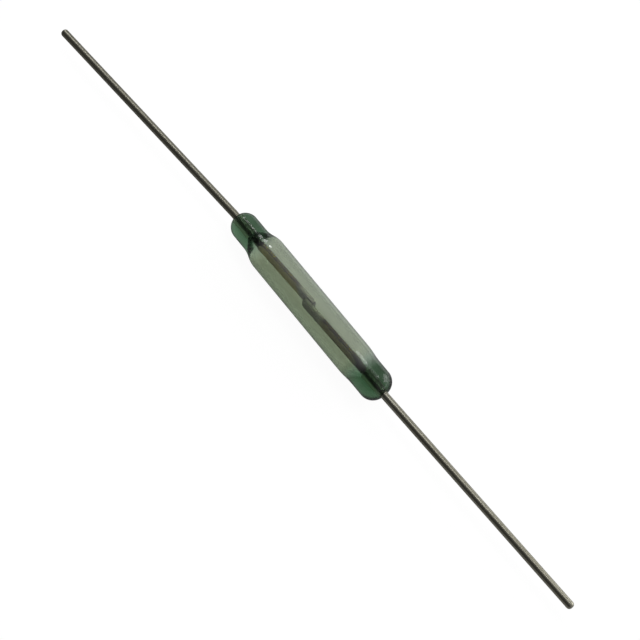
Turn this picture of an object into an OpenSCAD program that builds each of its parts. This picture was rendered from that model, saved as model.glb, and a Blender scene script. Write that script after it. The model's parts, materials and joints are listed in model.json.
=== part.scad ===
// Glass reed switch: a sealed glass capsule with a magnetic reed fused into each end.
// Lengths are in millimetres. X runs along the capsule, Z is up, and the origin is
// at the middle of the capsule. Right is +X and left is -X.

/* [Glass capsule] */
// Length of the glass over both domed ends
glass_length = 14; // [11:0.5:20]
// Outside diameter of the glass tube
glass_diameter = 2.2; // [1.9:0.05:3]
// Thickness of the tube wall round the cavity
glass_wall = 0.26; // [0.16:0.02:0.36]
// Solid glass from each end of the capsule to the tip of its cavity
seal_length = 1.6; // [1.2:0.1:2.4]
// Length of the cone in which the left end of the cavity closes on the wire
left_cone_length = 1.1; // [0.5:0.1:1.8]
// Length of the cone in which the right end of the cavity closes on the wire
right_cone_length = 1; // [0.5:0.1:1.8]

/* [Melted ends of the glass] */
// How far the left end has drawn in below the tube, on the radius
left_neck_depth = 0.25; // [0.05:0.01:0.4]
// Length of the left neck, dome included
left_neck_length = 1.75; // [1.2:0.05:2.4]
// Length of the left shoulder, from the neck up to the tube
left_shoulder_length = 1.35; // [0.6:0.05:2]
// Radius of the dome on the left end
left_dome_radius = 0.82; // [0.3:0.02:0.84]
// How far the right end has drawn in below the tube, on the radius
right_neck_depth = 0.08; // [0.02:0.01:0.4]
// Length of the right neck, dome included
right_neck_length = 1.6; // [1.2:0.05:2.4]
// Length of the right shoulder, from the neck up to the tube
right_shoulder_length = 1.3; // [0.6:0.05:2]
// Radius of the dome on the right end
right_dome_radius = 0.85; // [0.3:0.05:1.05]

/* [Leads] */
// Diameter of the round wire that both reeds are pressed from
wire_diameter = 0.48; // [0.36:0.02:0.64]
// Length of the left lead outside the glass
left_lead_length = 16.55; // [6:0.05:24]
// Length of the right lead outside the glass
right_lead_length = 15.85; // [6:0.05:24]
// Angle by which the left lead has been bent where it leaves the glass
left_lead_angle = 3.5; // [0.5:0.1:20]
// Angle by which the right lead has been bent where it leaves the glass
right_lead_angle = 1.9; // [0.5:0.1:20]
// Radius of the small bends in the wire, on its centre line
bend_radius = 1; // [0.5:0.1:2]
// How much thicker the wire is at its bends, on the radius
bend_swell = 0.002; // [0.001:0.001:0.01]
// Straight wire between the glass and the bend of the lead
lead_exit = 0.2; // [0.1:0.05:0.6]
// Rounding of the cut end of each lead
lead_end_radius = 0.2; // [0.04:0.01:0.22]

/* [Blades] */
// Width of the pressed blades
blade_width = 0.92; // [0.7:0.02:1.1]
// Thickness of the pressed blades
blade_thickness = 0.21; // [0.14:0.01:0.3]
// Length over which the round wire runs out into the flat blade
blade_runout = 0.8; // [0.4:0.05:1.4]
// Length by which the two blades overlap
blade_overlap = 0.6; // [0.3:0.05:1.2]
// Open gap between the two contact faces
contact_gap = 0.07; // [0.02:0.01:0.12]
// Rounding of the two corners at the tip of each blade
blade_corner_radius = 0.16; // [0.05:0.01:0.3]
// Round wire that stands in the cavity before the blade starts
wire_stub = 0.6; // [0.3:0.05:1]

/* [Hidden] */
$fn = 96;
// Room by which a cutting shape passes the face it cuts
spare = 1;
// Length by which straight wire runs into a bend, at most
bend_bite = 0.02;

half_length = glass_length / 2;
tube_radius = glass_diameter / 2;
cavity_radius = tube_radius - glass_wall;
wire_radius = wire_diameter / 2;
half_blade = blade_thickness / 2;
half_width = blade_width / 2;

// Where the wire stops being held by the glass and the blade is free to flex
root_distance = half_length - seal_length - wire_stub;
// Each blade leans aside so that the contact faces pass each other at the gap
blade_lean = atan((blade_thickness + contact_gap) / 2 / root_distance);
// Straight wire that each half of a bend takes up
lean_setback = bend_radius * tan(blade_lean / 2);
blade_length = (root_distance + blade_overlap / 2) / cos(blade_lean) - lean_setback;

// Radius of the arc that rises by a height over a length and ends level
function arc_radius(length, height) = (length * length + height * height) / (2 * height);

// Length of a bend along its centre line, and of the straight wire that runs into it
function bend_length(angle) = bend_radius * angle * PI / 180;
function bite(angle) = min(bend_bite, bend_length(angle) / 2);

// Frames: local z points out of the capsule, local x is the side to which the lead bends
module right_end() {
    rotate([90, 0, 90]) children();
}

module left_end() {
    rotate([0, 0, 180]) right_end() children();
}

// Profile of one end of the glass, as radius and distance from the middle
module glass_end_profile(neck_depth, neck_length, shoulder_length, dome_radius) {
    neck_radius = tube_radius - neck_depth;
    dome = min(dome_radius, neck_radius);
    neck_start = half_length - neck_length;
    shoulder_start = neck_start - shoulder_length;
    shoulder_middle = neck_start - shoulder_length / 2;
    shoulder_radius = arc_radius(shoulder_length / 2, neck_depth / 2);
    square([tube_radius, shoulder_start]);
    // Outer half of the shoulder, rounding off the tube
    intersection() {
        translate([0, shoulder_start]) square([tube_radius, shoulder_length / 2]);
        translate([tube_radius - shoulder_radius, shoulder_start]) circle(shoulder_radius);
    }
    // Inner half of the shoulder, sweeping into the neck
    difference() {
        translate([0, shoulder_middle]) square([tube_radius - neck_depth / 2, shoulder_length / 2]);
        translate([neck_radius + shoulder_radius, neck_start]) circle(shoulder_radius);
    }
    translate([0, neck_start]) square([neck_radius, neck_length - dome]);
    translate([0, half_length - dome]) square([neck_radius - dome, dome]);
    intersection() {
        translate([0, half_length - dome]) square([neck_radius, dome]);
        translate([neck_radius - dome, half_length - dome]) circle(dome);
    }
}

// Profile of one half of the cavity, which passes the middle and closes on the wire in a cone
module cavity_end_profile(cone_length) {
    tip = half_length - seal_length;
    polygon([[0, -spare], [cavity_radius, -spare], [cavity_radius, tip - cone_length],
             [wire_radius, tip], [0, tip]]);
}

module glass_profile() {
    difference() {
        union() {
            glass_end_profile(right_neck_depth, right_neck_length,
                              right_shoulder_length, right_dome_radius);
            mirror([0, 1])
                glass_end_profile(left_neck_depth, left_neck_length,
                                  left_shoulder_length, left_dome_radius);
        }
        cavity_end_profile(right_cone_length);
        mirror([0, 1]) cavity_end_profile(left_cone_length);
        translate([0, -half_length - spare]) square([wire_radius, glass_length + 2 * spare]);
    }
}

// A bend in the wire that starts along z and turns towards x
module wire_bend(angle) {
    translate([bend_radius, 0, 0])
        rotate([90, 0, 0])
            rotate([0, 0, 180 - angle])
                rotate_extrude(angle = angle)
                    translate([bend_radius, 0]) circle(wire_radius + bend_swell);
}

// Places what follows a bend at its end
module after_bend(angle) {
    translate([bend_radius * (1 - cos(angle)), 0, bend_radius * sin(angle)])
        rotate([0, angle, 0]) children();
}

// A straight wire whose far end has its cut edge rounded
module wire_to_cut_end(length) {
    rotate_extrude() {
        square([wire_radius, length - lead_end_radius]);
        square([wire_radius - lead_end_radius, length]);
        intersection() {
            translate([wire_radius - lead_end_radius, length - lead_end_radius]) circle(lead_end_radius);
            square([wire_radius + spare, length + spare]);
        }
    }
}

// The round part of a reed: from the blade's root, through the seal, out to the cut end
module reed_lead(lead_length, lead_angle) {
    inner_end = root_distance + lean_setback;
    bend_start = half_length + lead_exit;
    sealed_start = inner_end - bite(blade_lean);
    sealed_end = bend_start + bite(lead_angle);
    straight_length = lead_length - lead_exit - bend_length(lead_angle) + bite(lead_angle);
    translate([0, 0, inner_end]) rotate([0, 180, 0]) wire_bend(blade_lean);
    translate([0, 0, sealed_start]) cylinder(r = wire_radius, h = sealed_end - sealed_start);
    translate([0, 0, bend_start]) {
        wire_bend(lead_angle);
        after_bend(lead_angle) translate([0, 0, -bite(lead_angle)]) wire_to_cut_end(straight_length);
    }
}

// Outline of the swelling that pressing gives the wire, as radius and distance from the root
module pressed_outline() {
    swell_radius = arc_radius(blade_runout, half_width - wire_radius);
    corner_start = blade_length - blade_corner_radius;
    intersection() {
        square([half_width, blade_runout]);
        translate([half_width - swell_radius, blade_runout]) circle(swell_radius);
    }
    translate([0, blade_runout]) square([half_width, corner_start - blade_runout]);
    translate([0, corner_start]) square([half_width - blade_corner_radius, blade_corner_radius]);
    translate([half_width - blade_corner_radius, corner_start])
        intersection() {
            circle(blade_corner_radius);
            square(blade_corner_radius);
        }
}

// What one die presses away: a flat with a round run-out towards the wire
module die_mark() {
    die_radius = arc_radius(blade_runout, wire_radius - half_blade);
    translate([half_blade + die_radius, blade_runout]) circle(die_radius);
    translate([half_blade, blade_runout]) square([half_width + spare, blade_length + spare]);
}

// Side view of a blade, as thickness and distance from the root
module pressed_side() {
    difference() {
        translate([-half_width - spare, 0]) square([blade_width + 2 * spare, blade_length + spare]);
        die_mark();
        mirror([1, 0]) die_mark();
    }
}

// The flat part of a reed, leaning from its root towards the middle of the capsule
module reed_blade() {
    translate([0, 0, root_distance + lean_setback])
        rotate([0, 180, 0])
            after_bend(blade_lean)
                intersection() {
                    rotate_extrude() pressed_outline();
                    rotate([90, 0, 0])
                        linear_extrude(height = blade_width + spare, center = true) pressed_side();
                }
}

module glass_capsule() {
    color("darkseagreen", 0.5) right_end() rotate_extrude() glass_profile();
}

module left_lead() {
    color("gray") left_end() reed_lead(left_lead_length, left_lead_angle);
}

module left_blade() {
    color("dimgray") left_end() reed_blade();
}

module right_lead() {
    color("gray") right_end() reed_lead(right_lead_length, right_lead_angle);
}

module right_blade() {
    color("dimgray") right_end() reed_blade();
}

glass_capsule();
left_lead();
left_blade();
right_lead();
right_blade();
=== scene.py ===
"""Looks of a glass reed switch: a green glass capsule with two pressed wire reeds fused into it.

Lengths are named in millimetres and turned into metres where a mesh is made.
X runs along the capsule, Z is up, and the origin is at the middle of the capsule.
"""
import json
import math

import bmesh
import bpy
from mathutils import Matrix, Vector


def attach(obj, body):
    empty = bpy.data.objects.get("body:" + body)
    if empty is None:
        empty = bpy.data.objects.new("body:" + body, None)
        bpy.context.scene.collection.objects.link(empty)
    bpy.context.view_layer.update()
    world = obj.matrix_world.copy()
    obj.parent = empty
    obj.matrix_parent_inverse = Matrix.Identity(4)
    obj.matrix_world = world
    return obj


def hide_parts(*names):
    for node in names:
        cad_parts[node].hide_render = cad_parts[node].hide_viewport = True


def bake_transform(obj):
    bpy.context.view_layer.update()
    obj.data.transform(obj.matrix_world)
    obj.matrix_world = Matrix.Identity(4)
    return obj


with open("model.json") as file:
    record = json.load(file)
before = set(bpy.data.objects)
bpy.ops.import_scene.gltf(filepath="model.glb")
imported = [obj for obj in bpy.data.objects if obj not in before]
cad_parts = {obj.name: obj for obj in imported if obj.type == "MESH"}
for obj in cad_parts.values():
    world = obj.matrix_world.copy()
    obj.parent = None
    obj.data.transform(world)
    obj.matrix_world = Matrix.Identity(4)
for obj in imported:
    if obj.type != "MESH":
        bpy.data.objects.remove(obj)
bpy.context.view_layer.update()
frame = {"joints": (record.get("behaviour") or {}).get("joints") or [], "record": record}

MM = 0.001

# Sizes read from the frame
MOUNTS = {mount["name"]: mount for mount in frame["record"]["mounts"]}
JOINTS = {joint["name"]: joint for joint in frame["joints"]}
TUBE_RADIUS = MOUNTS["glass_tube"]["dims"]["r_mm"]
WIRE_RADIUS = MOUNTS["right_lead_wire"]["dims"]["r_mm"]
ROOT_DISTANCE = JOINTS["right_blade_flex"]["pos_m"][0] / MM

# Glass
HALF_LENGTH = 7.0
GLASS_WALL = 0.26
SEAL_LENGTH = 1.6
LEFT_CONE = 1.1
RIGHT_CONE = 1.0
LEFT_CONE_EASE = 0.25
RIGHT_CONE_EASE = 0.45
LEFT_END = {"neck_depth": 0.25, "neck_length": 1.75, "shoulder_length": 1.35, "dome_radius": 0.82}
RIGHT_END = {"neck_depth": 0.08, "neck_length": 1.6, "shoulder_length": 1.3, "dome_radius": 0.85}
# The glass is drawn this far into the wire, so that no air shows between them
SEAL_BITE = 0.02
GLASS_ROUND_STEPS = 160
TUBE_STEPS = 12
SHOULDER_STEPS = 14
NECK_STEPS = 4
DOME_STEPS = 28
CONE_STEPS = 16
EASE_STEPS = 20

# Reeds
LEAD_EXIT = 0.2
BEND_RADIUS = 1.0
LEAD_END_RADIUS = 0.2
BLADE_WIDTH = 0.92
BLADE_THICKNESS = 0.21
BLADE_RUNOUT = 0.8
BLADE_OVERLAP = 0.6
CONTACT_GAP = 0.07
BLADE_CORNER_RADIUS = 0.16
BLADE_EDGE_SOFTNESS = 0.09
REED_ROUND_STEPS = 192
CORNER_STEPS = 12
BLADE_STEPS = 24
RUNOUT_STEPS = 28
LEAN_STEPS = 4
SEALED_STEPS = 14
LEAD_BEND_STEPS = 6
LEAD_STEPS = 40
# Round wire past the root that has the blade's finish, as a share of the root's distance
STAINED_SHARE = 0.1

# Places where a finish changes, in millimetres, with pairs for the start and end of a fading
BARED_FROM = (6.7, 6.95)
PLATING_MIDDLE = 0.15
PLATING_END = (1.05, 1.45)
FINISH_WANDER = 0.3
# Height from the blade's middle where the painted highlight on the plating's narrow sides begins
LIT_NARROW_SIDE_FROM = (0.4, 0.44)
BROWNED_FROM = (0.5, 1.6)
# Distance from the middle where the painted shade on the blades near their roots begins
ROOT_SHADE_FROM = (4.2, 4.7)
OUTSIDE_FROM = (0.842, 0.849)
FILM_FROM = (-4.9, -4.2)
FILM_TO = (4.6, 5.4)
HAZE_FROM = (-4.7, -4.1)
HAZE_TO = (5.0, 5.6)
# Where the painted shade on the right end's +Y side begins
RIGHT_SHADE_FROM = (5.1, 5.7)
MIDDLE = (-1.0, 1.0)

# Colours, in pairs where one goes over into the other in patches, and strengths
WIRE = ((0.36, 0.345, 0.27, 1.0), (0.45, 0.437, 0.36, 1.0))
SEALED_WIRE = (0.5, 0.5, 0.42, 1.0)
OLIVE_BLADE = ((0.243, 0.194, 0.012, 1.0), (0.324, 0.265, 0.03, 1.0))
BROWN_BLADE = ((0.11, 0.082, 0.003, 1.0), (0.16, 0.13, 0.008, 1.0))
# The plating is painted dark on the flat faces as painted shade and bright on the narrow sides as a
# painted highlight
PLATED_SHADED_FLAT = (0.17, 0.17, 0.15, 1.0)
PLATED_LIT_NARROW_SIDE = (0.92, 0.92, 0.8, 1.0)
# Painted shade on the blades near the seals
ROOT_SHADE_BLADE = (0.1, 0.1, 0.075, 1.0)
SMOKY_FILM = ((0.515, 0.5, 0.375, 1.0), (0.6, 0.59, 0.455, 1.0))
CLEAR_GLASS = (0.98, 0.99, 0.98, 1.0)
# The second colour of each end glass is painted shade on its +Y side
LEFT_END_GLASS_AND_SHADE = ((0.88, 0.9, 0.88, 1.0), (0.46, 0.49, 0.46, 1.0))
RIGHT_END_GLASS_AND_SHADE = ((0.99, 1.0, 0.99, 1.0), (0.36, 0.385, 0.34, 1.0))
GLASS_GREEN = (0.15, 0.385, 0.19, 1.0)
GLASS_DENSITY = 1780.0
FLOOR_PAPER = (0.12, 0.12, 0.12, 1.0)
FLOOR_GLOW = 0.96

# View, as angles of the capsule against the picture
AXIS_TILT = 17.5
AXIS_SLOPE = 50.37
BLADE_TURN = 69.0
VIEW_DISTANCE = 111.15
PICTURE_SIZE = 640
FOCAL_PIXELS = 1927.3
CENTRE_PIXEL = (309.12, 304.18)
SENSOR_WIDTH = 36.0


def link(tree, output, target):
    tree.links.new(output, target)


def put(tree, target, value):
    """Sets an input to a plain value, or links it to another node's output."""
    if isinstance(value, bpy.types.NodeSocket):
        tree.links.new(value, target)
    else:
        target.default_value = value


def calc(tree, operation, *values):
    """A Math node on plain values or outputs."""
    node = tree.nodes.new("ShaderNodeMath")
    node.operation = operation
    for index, value in enumerate(values):
        put(tree, node.inputs[index], value)
    return node.outputs[0]


def piece(name, mesh):
    made = bpy.data.objects.new(name, mesh)
    bpy.context.scene.collection.objects.link(made)
    return made


def arc_radius(length, height):
    """Radius of the arc that rises by a height over a length and ends level."""
    return (length * length + height * height) / (2 * height)


def steps(start, end, count):
    """Even steps from start to end, without the start."""
    return [start + (end - start) * (i + 1) / count for i in range(count)]


# Glass capsule

def glass_end(neck_depth, neck_length, shoulder_length, dome_radius):
    """Outline of one end from the tube to the wire, as distance from the middle and radius."""
    neck_radius = TUBE_RADIUS - neck_depth
    neck_start = HALF_LENGTH - neck_length
    shoulder_start = neck_start - shoulder_length
    half_shoulder = shoulder_length / 2
    bend = arc_radius(half_shoulder, neck_depth / 2)
    outline = [(shoulder_start, TUBE_RADIUS)]
    for along in steps(0, half_shoulder, SHOULDER_STEPS):
        outline.append((shoulder_start + along, TUBE_RADIUS - bend + math.sqrt(bend**2 - along**2)))
    for along in steps(half_shoulder, 0, SHOULDER_STEPS):
        outline.append((neck_start - along, neck_radius + bend - math.sqrt(bend**2 - along**2)))
    dome_centre = neck_radius - dome_radius
    dome_start = HALF_LENGTH - dome_radius
    for along in steps(neck_start, dome_start, NECK_STEPS):
        outline.append((along, neck_radius))
    rim = WIRE_RADIUS - SEAL_BITE
    rim_angle = math.asin(min(1.0, (rim - dome_centre) / dome_radius))
    for angle in steps(math.pi / 2, rim_angle, DOME_STEPS):
        outline.append((dome_start + dome_radius * math.cos(angle),
                        dome_centre + dome_radius * math.sin(angle)))
    return outline


def cavity_end(cone_length, ease):
    """Outline of one end of the cavity, a cone from the wire out to the straight wall."""
    cavity_radius = TUBE_RADIUS - GLASS_WALL
    tip = HALF_LENGTH - SEAL_LENGTH
    slope = (cavity_radius - WIRE_RADIUS) / cone_length
    wall_start = tip - cone_length
    outline = [(tip + SEAL_BITE / slope, WIRE_RADIUS - SEAL_BITE)]
    for along in steps(tip, wall_start + ease, CONE_STEPS):
        outline.append((along, WIRE_RADIUS + (tip - along) * slope))
    # The cone eases into the wall, so that no hard edge shows in the glass
    for along in steps(ease, -ease, EASE_STEPS):
        outline.append((wall_start + along, cavity_radius - slope * (along + ease)**2 / (4 * ease)))
    return outline


def mirrored(outline):
    return [(-along, radius) for along, radius in reversed(outline)]


def straight(start, end, radius):
    """Points between two ends of a straight stretch, without the ends."""
    return [(along, radius) for along in steps(start, end, TUBE_STEPS)][:-1]


def revolved(name, outline):
    """A closed mesh of an outline turned about the X axis, with smooth faces that point outwards."""
    mesh = bpy.data.meshes.new(name)
    shape = bmesh.new()
    rings = []
    for turn in range(GLASS_ROUND_STEPS):
        angle = 2 * math.pi * turn / GLASS_ROUND_STEPS
        side, up = math.cos(angle), math.sin(angle)
        rings.append([shape.verts.new((x * MM, r * side * MM, r * up * MM)) for x, r in outline])
    count = len(outline)
    for turn in range(GLASS_ROUND_STEPS):
        here, there = rings[turn], rings[(turn + 1) % GLASS_ROUND_STEPS]
        for i in range(count):
            j = (i + 1) % count
            shape.faces.new((here[i], here[j], there[j], there[i]))
    bmesh.ops.recalc_face_normals(shape, faces=shape.faces)
    for face in shape.faces:
        face.smooth = True
    shape.to_mesh(mesh)
    shape.free()
    return mesh


def glass_capsule(material):
    cavity_radius = TUBE_RADIUS - GLASS_WALL
    left = mirrored(glass_end(**LEFT_END))
    right = glass_end(**RIGHT_END)
    right_cavity = cavity_end(RIGHT_CONE, RIGHT_CONE_EASE)
    left_cavity = mirrored(cavity_end(LEFT_CONE, LEFT_CONE_EASE))
    outline = left + straight(left[-1][0], right[0][0], TUBE_RADIUS) + right
    outline += right_cavity
    outline += straight(right_cavity[-1][0], left_cavity[0][0], cavity_radius)
    outline += left_cavity
    capsule = piece("glass_envelope", revolved("glass_envelope", outline))
    capsule.data.materials.append(material)
    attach(capsule, "switch_body")
    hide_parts("glass_capsule")


# Reeds

def pressed_wire_tree(lead_finish, blade_finish):
    """Geometry nodes that lay a round wire along a path and press its first stretch into a blade."""
    tree = bpy.data.node_groups.new("pressed_wire", "GeometryNodeTree")
    tree.is_modifier = True
    face = tree.interface
    face.new_socket("Path", in_out="INPUT", socket_type="NodeSocketGeometry")
    for name in ("Wire Radius", "Half Width", "Half Thickness", "Runout", "Blade Length", "Whole Length",
                 "Corner Radius", "End Radius", "Edge Softness", "Stained To"):
        face.new_socket(name, in_out="INPUT", socket_type="NodeSocketFloat")
    face.new_socket("Round Steps", in_out="INPUT", socket_type="NodeSocketInt")
    face.new_socket("Reed", in_out="OUTPUT", socket_type="NodeSocketGeometry")
    size = tree.nodes.new("NodeGroupInput").outputs

    # The path carries its distance from the blade's tip and the side to which the flat faces look
    distance = tree.nodes.new("GeometryNodeInputNamedAttribute")
    distance.data_type = "FLOAT"
    distance.inputs["Name"].default_value = "from_tip"
    side = tree.nodes.new("GeometryNodeInputNamedAttribute")
    side.data_type = "FLOAT_VECTOR"
    side.inputs["Name"].default_value = "side"
    curve = tree.nodes.new("GeometryNodeMeshToCurve")
    link(tree, size["Path"], curve.inputs["Mesh"])
    along = tree.nodes.new("GeometryNodeCaptureAttribute")
    along.capture_items.new("FLOAT", "From Tip")
    along.capture_items.new("VECTOR", "Side")
    along.capture_items.new("VECTOR", "Place")
    link(tree, curve.outputs["Curve"], along.inputs["Geometry"])
    link(tree, distance.outputs["Attribute"], along.inputs["From Tip"])
    link(tree, side.outputs["Attribute"], along.inputs["Side"])
    link(tree, tree.nodes.new("GeometryNodeInputPosition").outputs["Position"], along.inputs["Place"])

    circle = tree.nodes.new("GeometryNodeCurvePrimitiveCircle")
    link(tree, size["Round Steps"], circle.inputs["Resolution"])
    circle.inputs["Radius"].default_value = 1.0
    around = tree.nodes.new("GeometryNodeCaptureAttribute")
    around.capture_items.new("VECTOR", "Round")
    link(tree, circle.outputs["Curve"], around.inputs["Geometry"])
    link(tree, tree.nodes.new("GeometryNodeInputPosition").outputs["Position"], around.inputs["Round"])

    skin = tree.nodes.new("GeometryNodeCurveToMesh")
    skin.inputs["Fill Caps"].default_value = True
    link(tree, along.outputs["Geometry"], skin.inputs["Curve"])
    link(tree, around.outputs["Geometry"], skin.inputs["Profile Curve"])

    def rule(operation, *values):
        return calc(tree, operation, *values)

    def arc_of(length, height):
        squares = rule("ADD", rule("MULTIPLY", length, length), rule("MULTIPLY", height, height))
        return rule("DIVIDE", squares, rule("MULTIPLY", height, 2.0))

    def arc_drop(radius, reach):
        rest = rule("SUBTRACT", rule("MULTIPLY", radius, radius), rule("MULTIPLY", reach, reach))
        return rule("SUBTRACT", radius, rule("SQRT", rule("MAXIMUM", rest, 0.0)))

    from_tip = along.outputs["From Tip"]
    corner_reach = rule("MAXIMUM", rule("SUBTRACT", size["Corner Radius"], from_tip), 0.0)
    to_end = rule("SUBTRACT", size["Whole Length"], from_tip)
    end_reach = rule("MAXIMUM", rule("SUBTRACT", size["End Radius"], to_end), 0.0)
    runout_start = rule("SUBTRACT", size["Blade Length"], size["Runout"])
    runout_reach = rule("MAXIMUM", rule("SUBTRACT", from_tip, runout_start), 0.0)
    runout_reach = rule("MINIMUM", runout_reach, size["Runout"])
    swell = arc_of(size["Runout"], rule("SUBTRACT", size["Half Width"], size["Wire Radius"]))
    die = arc_of(size["Runout"], rule("SUBTRACT", size["Wire Radius"], size["Half Thickness"]))
    radius = rule("SUBTRACT", size["Half Width"], arc_drop(size["Corner Radius"], corner_reach))
    radius = rule("SUBTRACT", radius, arc_drop(swell, runout_reach))
    radius = rule("SUBTRACT", radius, arc_drop(size["End Radius"], end_reach))
    past_root = rule("MAXIMUM", rule("SUBTRACT", from_tip, size["Blade Length"]), 0.0)
    flat = rule("ADD", size["Half Thickness"], arc_drop(die, runout_reach))
    flat = rule("ADD", flat, past_root)

    # The round section is cut off level on both sides, with a soft edge
    split = tree.nodes.new("ShaderNodeSeparateXYZ")
    link(tree, around.outputs["Round"], split.inputs[0])
    across = rule("MULTIPLY", split.outputs["X"], radius)
    across = rule("SMOOTH_MIN", across, flat, size["Edge Softness"])
    across = rule("SMOOTH_MAX", across, rule("MULTIPLY", flat, -1.0), size["Edge Softness"])
    upward = tree.nodes.new("ShaderNodeCombineXYZ")
    link(tree, rule("MULTIPLY", split.outputs["Y"], radius), upward.inputs["Z"])
    sideways = tree.nodes.new("ShaderNodeVectorMath")
    sideways.operation = "SCALE"
    link(tree, along.outputs["Side"], sideways.inputs[0])
    link(tree, across, sideways.inputs["Scale"])
    offset = tree.nodes.new("ShaderNodeVectorMath")
    link(tree, sideways.outputs[0], offset.inputs[0])
    link(tree, upward.outputs[0], offset.inputs[1])
    place = tree.nodes.new("ShaderNodeVectorMath")
    link(tree, along.outputs["Place"], place.inputs[0])
    link(tree, offset.outputs[0], place.inputs[1])
    shaped = tree.nodes.new("GeometryNodeSetPosition")
    link(tree, skin.outputs["Mesh"], shaped.inputs["Geometry"])
    link(tree, place.outputs[0], shaped.inputs["Position"])

    whole = tree.nodes.new("GeometryNodeRealizeInstances")
    link(tree, shaped.outputs["Geometry"], whole.inputs["Geometry"])
    lead = tree.nodes.new("GeometryNodeSetMaterial")
    lead.inputs["Material"].default_value = lead_finish
    link(tree, whole.outputs["Geometry"], lead.inputs["Geometry"])
    blade = tree.nodes.new("GeometryNodeSetMaterial")
    blade.inputs["Material"].default_value = blade_finish
    link(tree, lead.outputs["Geometry"], blade.inputs["Geometry"])
    link(tree, rule("LESS_THAN", from_tip, size["Stained To"]), blade.inputs["Selection"])
    result = tree.nodes.new("NodeGroupOutput")
    link(tree, blade.outputs["Geometry"], result.inputs["Reed"])
    return tree


def bend_points(start, heading, angle, count):
    """Points round a bend of the wire, with the heading at its end. A positive angle turns left."""
    turn = math.copysign(1.0, angle)
    centre = start + Vector((-heading.y, heading.x)) * BEND_RADIUS * turn
    spoke = start - centre
    points = []
    for part in steps(0, angle, count):
        points.append(centre + Matrix.Rotation(part, 2) @ spoke)
    return points, Matrix.Rotation(angle, 2) @ heading


def easing(length, count):
    """Steps over a rounded corner, closest at its start, where the outline is steepest."""
    return [length * (1 - math.cos(math.pi / 2 * (i + 1) / count)) for i in range(count)]


def reed_path(lead_mount, blade_lean):
    """Middle line of the right-hand reed from its blade's tip to the lead's cut end, in the XY plane."""
    setback = BEND_RADIUS * math.tan(blade_lean / 2)
    blade_length = (ROOT_DISTANCE + BLADE_OVERLAP / 2) / math.cos(blade_lean) - setback
    axis = Vector(lead_mount["axis"][:2])
    lead_angle = math.atan2(abs(axis.y), abs(axis.x))
    bend_start = HALF_LENGTH + LEAD_EXIT
    inner_end = ROOT_DISTANCE + setback
    lead_straight = lead_mount["dims"]["length_mm"] + LEAD_END_RADIUS

    heading = Vector((math.cos(blade_lean), math.sin(blade_lean)))
    bend, _ = bend_points(Vector((inner_end, 0)), Vector((-1, 0)), blade_lean, LEAN_STEPS)
    root = bend[-1]
    points = [root - heading * blade_length]
    for back in easing(BLADE_CORNER_RADIUS, CORNER_STEPS):
        points.append(root - heading * (blade_length - back))
    for back in steps(blade_length - BLADE_CORNER_RADIUS, BLADE_RUNOUT, BLADE_STEPS):
        points.append(root - heading * back)
    for back in steps(BLADE_RUNOUT, 0, RUNOUT_STEPS):
        points.append(root - heading * back)
    points += list(reversed(bend[:-1])) + [Vector((inner_end, 0))]
    points += [Vector((along, 0)) for along in steps(inner_end, bend_start, SEALED_STEPS)]
    bend, heading = bend_points(Vector((bend_start, 0)), Vector((1, 0)), lead_angle, LEAD_BEND_STEPS)
    points += bend
    lead_start = points[-1]
    for forward in steps(0, lead_straight - LEAD_END_RADIUS, LEAD_STEPS):
        points.append(lead_start + heading * forward)
    for left in reversed([0.0] + easing(LEAD_END_RADIUS, CORNER_STEPS)[:-1]):
        points.append(lead_start + heading * (lead_straight - left))
    return points, blade_length


def path_mesh(name, points, turned):
    """A line of points with what the geometry nodes read from it. The left-hand path is turned."""
    sign = -1.0 if turned else 1.0
    mesh = bpy.data.meshes.new(name)
    places = [(sign * p.x * MM, sign * p.y * MM, 0.0) for p in points]
    mesh.from_pydata(places, [(i, i + 1) for i in range(len(places) - 1)], [])
    from_tip = [0.0]
    for here, there in zip(points, points[1:]):
        from_tip.append(from_tip[-1] + (there - here).length * MM)
    sides = []
    for i in range(len(points)):
        before, after = points[max(i - 1, 0)], points[min(i + 1, len(points) - 1)]
        heading = (after - before).normalized()
        sides += [-sign * heading.y, sign * heading.x, 0.0]
    mesh.attributes.new("from_tip", "FLOAT", "POINT").data.foreach_set("value", from_tip)
    mesh.attributes.new("side", "FLOAT_VECTOR", "POINT").data.foreach_set("vector", sides)
    return mesh, from_tip[-1]


def baked(made):
    """Turns what a piece's geometry nodes give into its own mesh, with faces that point outwards."""
    seen = made.evaluated_get(bpy.context.evaluated_depsgraph_get())
    mesh = bpy.data.meshes.new_from_object(seen)
    made.modifiers.clear()
    old = made.data
    made.data = mesh
    bpy.data.meshes.remove(old)
    mesh.name = made.name
    shape = bmesh.new()
    shape.from_mesh(mesh)
    bmesh.ops.recalc_face_normals(shape, faces=shape.faces)
    for face in shape.faces:
        face.smooth = True
    shape.to_mesh(mesh)
    shape.free()


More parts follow.
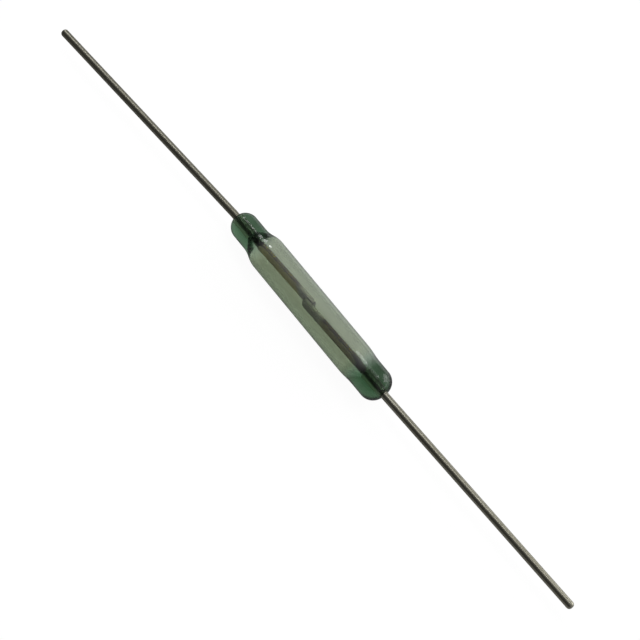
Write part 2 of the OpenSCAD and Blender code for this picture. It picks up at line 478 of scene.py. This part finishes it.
def reed(name, tree, turned):
    hand = "left" if turned else "right"
    blade_lean = math.atan((BLADE_THICKNESS + CONTACT_GAP) / 2 / ROOT_DISTANCE)
    points, blade_length = reed_path(MOUNTS[hand + "_lead_wire"], blade_lean)
    mesh, whole_length = path_mesh(name, points, turned)
    made = piece(name, mesh)
    nodes = made.modifiers.new("pressed_wire", "NODES")
    nodes.node_group = tree
    sizes = {
        "Wire Radius": WIRE_RADIUS * MM,
        "Half Width": BLADE_WIDTH / 2 * MM,
        "Half Thickness": BLADE_THICKNESS / 2 * MM,
        "Runout": BLADE_RUNOUT * MM,
        "Blade Length": blade_length * MM,
        "Whole Length": whole_length,
        "Corner Radius": BLADE_CORNER_RADIUS * MM,
        "End Radius": LEAD_END_RADIUS * MM,
        "Edge Softness": BLADE_EDGE_SOFTNESS * MM,
        "Stained To": (blade_length + ROOT_DISTANCE * STAINED_SHARE) * MM,
        "Round Steps": REED_ROUND_STEPS,
    }
    for socket in tree.interface.items_tree:
        if socket.name in sizes:
            nodes[socket.identifier] = sizes[socket.name]
    baked(made)
    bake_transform(made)
    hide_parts(hand + "_lead", hand + "_blade")


# Materials

def new_material(name):
    material = bpy.data.materials.new(name)
    material.use_nodes = True
    tree = material.node_tree
    return material, tree, tree.nodes["Principled BSDF"], tree.nodes["Material Output"]


def mottle_group():
    """Soft uneven colour and a fine unevenness of the surface, both at a chosen grain."""
    tree = bpy.data.node_groups.new("mottle", "ShaderNodeTree")
    for name, kind in (("Vector", "NodeSocketVector"), ("Grain", "NodeSocketFloat")):
        tree.interface.new_socket(name, in_out="INPUT", socket_type=kind)
    for name in ("Patches", "Fine"):
        tree.interface.new_socket(name, in_out="OUTPUT", socket_type="NodeSocketFloat")
    given = tree.nodes.new("NodeGroupInput").outputs
    result = tree.nodes.new("NodeGroupOutput")
    for name, share, detail in (("Patches", 1.0, 3.0), ("Fine", 6.0, 2.0)):
        noise = tree.nodes.new("ShaderNodeTexNoise")
        link(tree, given["Vector"], noise.inputs["Vector"])
        link(tree, calc(tree, "MULTIPLY", given["Grain"], share), noise.inputs["Scale"])
        noise.inputs["Detail"].default_value = detail
        link(tree, noise.outputs[0], result.inputs[name])
    return tree


def mottle(tree, group, grain, stretch):
    """Places the mottle group on Object coordinates, stretched along the capsule."""
    place = tree.nodes.new("ShaderNodeTexCoord")
    mapping = tree.nodes.new("ShaderNodeMapping")
    mapping.inputs["Scale"].default_value = stretch
    link(tree, place.outputs["Object"], mapping.inputs["Vector"])
    node = tree.nodes.new("ShaderNodeGroup")
    node.node_tree = group
    node.inputs["Grain"].default_value = grain
    link(tree, mapping.outputs["Vector"], node.inputs["Vector"])
    return node.outputs["Patches"], node.outputs["Fine"]


def ranged(tree, value, low, high, to_low, to_high):
    node = tree.nodes.new("ShaderNodeMapRange")
    for index, number in enumerate((value, low, high, to_low, to_high)):
        put(tree, node.inputs[index], number)
    return node.outputs[0]


def passed(tree, length, span):
    """How far a length has passed a span in millimetres, from 0 to 1."""
    return ranged(tree, length, span[0] * MM, span[1] * MM, 0.0, 1.0)


def short_of(tree, length, span):
    """How far a length is still short of a span in millimetres, from 1 to 0."""
    return ranged(tree, length, span[0] * MM, span[1] * MM, 1.0, 0.0)


def mixed(tree, share, first, second):
    node = tree.nodes.new("ShaderNodeMix")
    node.data_type = "RGBA"
    put(tree, node.inputs["Factor"], share)
    # The node's sockets share their names, so those for colours are taken by number
    put(tree, node.inputs[6], first)
    put(tree, node.inputs[7], second)
    return node.outputs[2]


def bumped(tree, height, depth):
    node = tree.nodes.new("ShaderNodeBump")
    node.inputs["Strength"].default_value = 1.0
    node.inputs["Distance"].default_value = depth
    link(tree, height, node.inputs["Height"])
    return node.outputs[0]


def object_place(tree):
    """The piece's own X, Y and Z."""
    place = tree.nodes.new("ShaderNodeTexCoord")
    split = tree.nodes.new("ShaderNodeSeparateXYZ")
    link(tree, place.outputs["Object"], split.inputs[0])
    return split.outputs


def from_middle(tree):
    """Distance from the middle of the capsule, along it."""
    return calc(tree, "ABSOLUTE", object_place(tree)["X"])


def from_axis(tree):
    """Distance from the axis of the capsule."""
    place = tree.nodes.new("ShaderNodeTexCoord")
    across = tree.nodes.new("ShaderNodeVectorMath")
    across.operation = "MULTIPLY"
    across.inputs[1].default_value = (0.0, 1.0, 1.0)
    link(tree, place.outputs["Object"], across.inputs[0])
    length = tree.nodes.new("ShaderNodeVectorMath")
    length.operation = "LENGTH"
    link(tree, across.outputs[0], length.inputs[0])
    return length.outputs["Value"]


def lead_finish(group):
    """Drawn wire with a dull grey surface, darker in patches and lighter inside the seals."""
    material, tree, shader, _ = new_material("lead_wire")
    patches, fine = mottle(tree, group, grain=900.0, stretch=(0.25, 1.0, 1.0))
    drawn = mixed(tree, ranged(tree, patches, 0.35, 0.7, 0.0, 1.0), *WIRE)
    bared = passed(tree, from_middle(tree), BARED_FROM)
    link(tree, mixed(tree, bared, SEALED_WIRE, drawn), shader.inputs["Base Color"])
    link(tree, ranged(tree, patches, 0.3, 0.7, 0.42, 0.34), shader.inputs["Roughness"])
    shader.inputs["Metallic"].default_value = 1.0
    link(tree, bumped(tree, fine, depth=0.0015 * MM), shader.inputs["Normal"])
    return material


def blade_finish(group):
    """Pressed blade, olive or brown where it is bare and grey where the contact plating covers it."""
    material, tree, shader, _ = new_material("pressed_blade")
    patches, fine = mottle(tree, group, grain=1400.0, stretch=(0.35, 1.0, 1.0))
    place = object_place(tree)
    uneven = ranged(tree, patches, 0.35, 0.7, 0.0, 1.0)
    browned = passed(tree, place["X"], BROWNED_FROM)
    olive = mixed(tree, uneven, *OLIVE_BLADE)
    brown = mixed(tree, uneven, *BROWN_BLADE)
    bare_metal = mixed(tree, browned, olive, brown)
    # The plating is painted bright on the narrow sides as a painted highlight, and dark on the flat
    # faces as painted shade
    lit_narrow_side = passed(tree, calc(tree, "ABSOLUTE", place["Z"]), LIT_NARROW_SIDE_FROM)
    plating = mixed(tree, lit_narrow_side, PLATED_SHADED_FLAT, PLATED_LIT_NARROW_SIDE)
    # The plating reaches a little further on the right blade than on the left one, with an uneven end
    wander = ranged(tree, patches, 0.0, 1.0, -FINISH_WANDER * MM, FINISH_WANDER * MM)
    from_plating = calc(tree, "ABSOLUTE", calc(tree, "SUBTRACT", place["X"], PLATING_MIDDLE * MM))
    bare = passed(tree, calc(tree, "ADD", from_plating, wander), PLATING_END)
    metal = mixed(tree, bare, plating, bare_metal)
    # Towards the seals the blade is painted dark, as painted shade near its root
    root_shade = passed(tree, calc(tree, "ADD", from_middle(tree), wander), ROOT_SHADE_FROM)
    link(tree, mixed(tree, root_shade, metal, ROOT_SHADE_BLADE), shader.inputs["Base Color"])
    link(tree, ranged(tree, patches, 0.3, 0.7, 0.45, 0.35), shader.inputs["Roughness"])
    shader.inputs["Metallic"].default_value = 1.0
    link(tree, bumped(tree, fine, depth=0.003 * MM), shader.inputs["Normal"])
    return material


def green_glass(group):
    """Green glass whose colour deepens with its thickness, under a smoky film on the tube."""
    material, tree, shader, output = new_material("green_glass")
    patches, fine = mottle(tree, group, grain=500.0, stretch=(0.4, 1.0, 1.0))
    place = object_place(tree)
    # Both ends are painted darker towards the +Y side, as painted shade with a blotchy edge, on the
    # right only past the cone
    shade_side = ranged(tree, place["Y"], -1.0 * MM, 1.0 * MM, -0.8, 0.8)
    blotched_shade = ranged(tree, calc(tree, "ADD", shade_side, fine), 0.35, 1.0, 0.0, 1.0)
    left_end = mixed(tree, blotched_shade, *LEFT_END_GLASS_AND_SHADE)
    right_blotched_shade = calc(tree, "MULTIPLY", blotched_shade, passed(tree, place["X"], RIGHT_SHADE_FROM))
    right_end = mixed(tree, right_blotched_shade, *RIGHT_END_GLASS_AND_SHADE)
    ends = mixed(tree, passed(tree, place["X"], MIDDLE), left_end, right_end)
    # The smoky film lies on the outside of the tube and ends where the glass was melted
    outside = passed(tree, from_axis(tree), OUTSIDE_FROM)
    past_left_end = passed(tree, place["X"], FILM_FROM)
    film = calc(tree, "MULTIPLY", past_left_end, short_of(tree, place["X"], FILM_TO))
    smoky = mixed(tree, ranged(tree, patches, 0.3, 0.7, 0.0, 1.0), *SMOKY_FILM)
    skin = mixed(tree, film, ends, smoky)
    lining = mixed(tree, past_left_end, ends, CLEAR_GLASS)
    link(tree, mixed(tree, outside, lining, skin), shader.inputs["Base Color"])
    link(tree, ranged(tree, film, 0.0, 1.0, 0.2, 0.03), shader.inputs["Roughness"])
    # The film's haze lies a little further to the right than its colour, at both ends
    haze = calc(tree, "MULTIPLY", past_left_end, passed(tree, place["X"], HAZE_FROM))
    haze = calc(tree, "MULTIPLY", haze, short_of(tree, place["X"], HAZE_TO))
    link(tree, calc(tree, "MULTIPLY", outside, haze), shader.inputs["Coat Weight"])
    shader.inputs["Coat Roughness"].default_value = 0.6
    shader.inputs["Coat IOR"].default_value = 2.5
    shader.inputs["IOR"].default_value = 1.5
    shader.inputs["Transmission Weight"].default_value = 1.0
    link(tree, bumped(tree, fine, depth=0.0015 * MM), shader.inputs["Normal"])
    absorption = tree.nodes.new("ShaderNodeVolumeAbsorption")
    absorption.inputs["Color"].default_value = GLASS_GREEN
    absorption.inputs["Density"].default_value = GLASS_DENSITY
    link(tree, absorption.outputs["Volume"], output.inputs["Volume"])
    return material


# Floor, light and camera

def floor():
    """A wide pale floor under the glass, white in the picture and through the glass."""
    level = -TUBE_RADIUS * MM
    reach = 3.0
    mesh = bpy.data.meshes.new("floor")
    corners = ((-reach, -reach), (reach, -reach), (reach, reach), (-reach, reach))
    mesh.from_pydata([(x, y, level) for x, y in corners], [], [(0, 1, 2, 3)])
    made = piece("floor", mesh)
    material = bpy.data.materials.new("floor")
    material.use_nodes = True
    tree = material.node_tree
    tree.nodes.clear()
    paper = tree.nodes.new("ShaderNodeBsdfDiffuse")
    paper.inputs["Color"].default_value = FLOOR_PAPER
    # In reflections the floor dims to the left, and lies in shade round the part and on its near side
    place = object_place(tree)
    across = ranged(tree, place["X"], -20.0 * MM, 20.0 * MM, 0.65, 1.35)
    shade = ranged(tree, place["Y"], 1.8 * MM, 9.0 * MM, 0.16, 1.0)
    ray = tree.nodes.new("ShaderNodeLightPath")
    mirror = calc(tree, "MULTIPLY", ray.outputs["Is Glossy Ray"], calc(tree, "MULTIPLY", across, shade))
    seen = calc(tree, "MAXIMUM", ray.outputs["Is Camera Ray"], ray.outputs["Is Transmission Ray"])
    seen = calc(tree, "MAXIMUM", seen, mirror)
    glow = tree.nodes.new("ShaderNodeEmission")
    link(tree, calc(tree, "MULTIPLY", seen, FLOOR_GLOW), glow.inputs["Strength"])
    both = tree.nodes.new("ShaderNodeAddShader")
    link(tree, paper.outputs[0], both.inputs[0])
    link(tree, glow.outputs[0], both.inputs[1])
    output = tree.nodes.new("ShaderNodeOutputMaterial")
    link(tree, both.outputs[0], output.inputs["Surface"])
    made.data.materials.append(material)


def dome_light():
    """A soft dome that is bright on the far right and dim on the near left."""
    world = bpy.data.worlds.new("studio")
    bpy.context.scene.world = world
    world.use_nodes = True
    tree = world.node_tree
    place = tree.nodes.new("ShaderNodeTexCoord")
    towards = tree.nodes.new("ShaderNodeVectorMath")
    towards.operation = "DOT_PRODUCT"
    link(tree, place.outputs["Generated"], towards.inputs[0])
    towards.inputs[1].default_value = Vector((0.55, 0.8, 0.4)).normalized()
    dim, bright = 0.05, 0.46
    back = tree.nodes["Background"]
    back.inputs["Color"].default_value = (1.0, 1.0, 1.0, 1.0)
    link(tree, ranged(tree, towards.outputs["Value"], 0.1, 1.0, dim, bright), back.inputs["Strength"])


def lamp(name, place, width, height, power):
    """A soft lamp that looks at the middle of the capsule, with its width along it."""
    light = bpy.data.lights.new(name, "AREA")
    light.shape = "RECTANGLE"
    light.size = width
    light.size_y = height
    light.energy = power
    made = bpy.data.objects.new(name, light)
    bpy.context.scene.collection.objects.link(made)
    back = Vector(place).normalized()
    wide = (Vector((1.0, 0.0, 0.0)) - back * back.x).normalized()
    made.matrix_world = Matrix((wide, back.cross(wide), back)).transposed().to_4x4()
    made.location = place


def camera():
    tilt, slope, turn = math.radians(AXIS_TILT), math.radians(AXIS_SLOPE), math.radians(BLADE_TURN)
    along = Vector((math.cos(tilt) * math.cos(slope), -math.cos(tilt) * math.sin(slope), math.sin(tilt)))
    beside = Vector((math.sin(slope), math.cos(slope), 0.0))
    above = along.cross(beside)
    blade_up = math.sin(turn) * above + math.cos(turn) * beside
    across = blade_up.cross(along)
    # Rows are the part's axes as the camera sees them, so columns are the camera's own axes
    turned = Matrix((along, across, blade_up))
    right, up, back = turned.col
    shift_x = (CENTRE_PIXEL[0] - PICTURE_SIZE / 2) / FOCAL_PIXELS * VIEW_DISTANCE
    shift_y = (PICTURE_SIZE / 2 - CENTRE_PIXEL[1]) / FOCAL_PIXELS * VIEW_DISTANCE
    data = bpy.data.cameras.new("camera")
    data.sensor_width = SENSOR_WIDTH
    data.lens = FOCAL_PIXELS / PICTURE_SIZE * SENSOR_WIDTH
    data.clip_start = 0.005
    data.clip_end = 50.0
    made = bpy.data.objects.new("camera", data)
    bpy.context.scene.collection.objects.link(made)
    made.matrix_world = turned.to_4x4()
    made.location = (back * VIEW_DISTANCE - right * shift_x - up * shift_y) * MM
    bpy.context.scene.camera = made


bpy.context.scene.view_settings.view_transform = "Standard"
shared_mottle = mottle_group()
wire_tree = pressed_wire_tree(lead_finish(shared_mottle), blade_finish(shared_mottle))
reed("left_reed", wire_tree, turned=True)
reed("right_reed", wire_tree, turned=False)
glass_capsule(green_glass(shared_mottle))
floor()
dome_light()
lamp("key lamp", (-0.05, 0.17, 0.465), width=0.11, height=0.15, power=0.165)
lamp("near lamp", (0.2, 0.54, 0.2), width=0.5, height=0.34, power=1.25)
lamp("far lamp", (-0.38, 0.18, 0.31), width=0.14, height=0.14, power=0.32)
lamp("far seal lamp", (-0.186, 0.18, 0.4275), width=0.012, height=0.09, power=0.06)
camera()
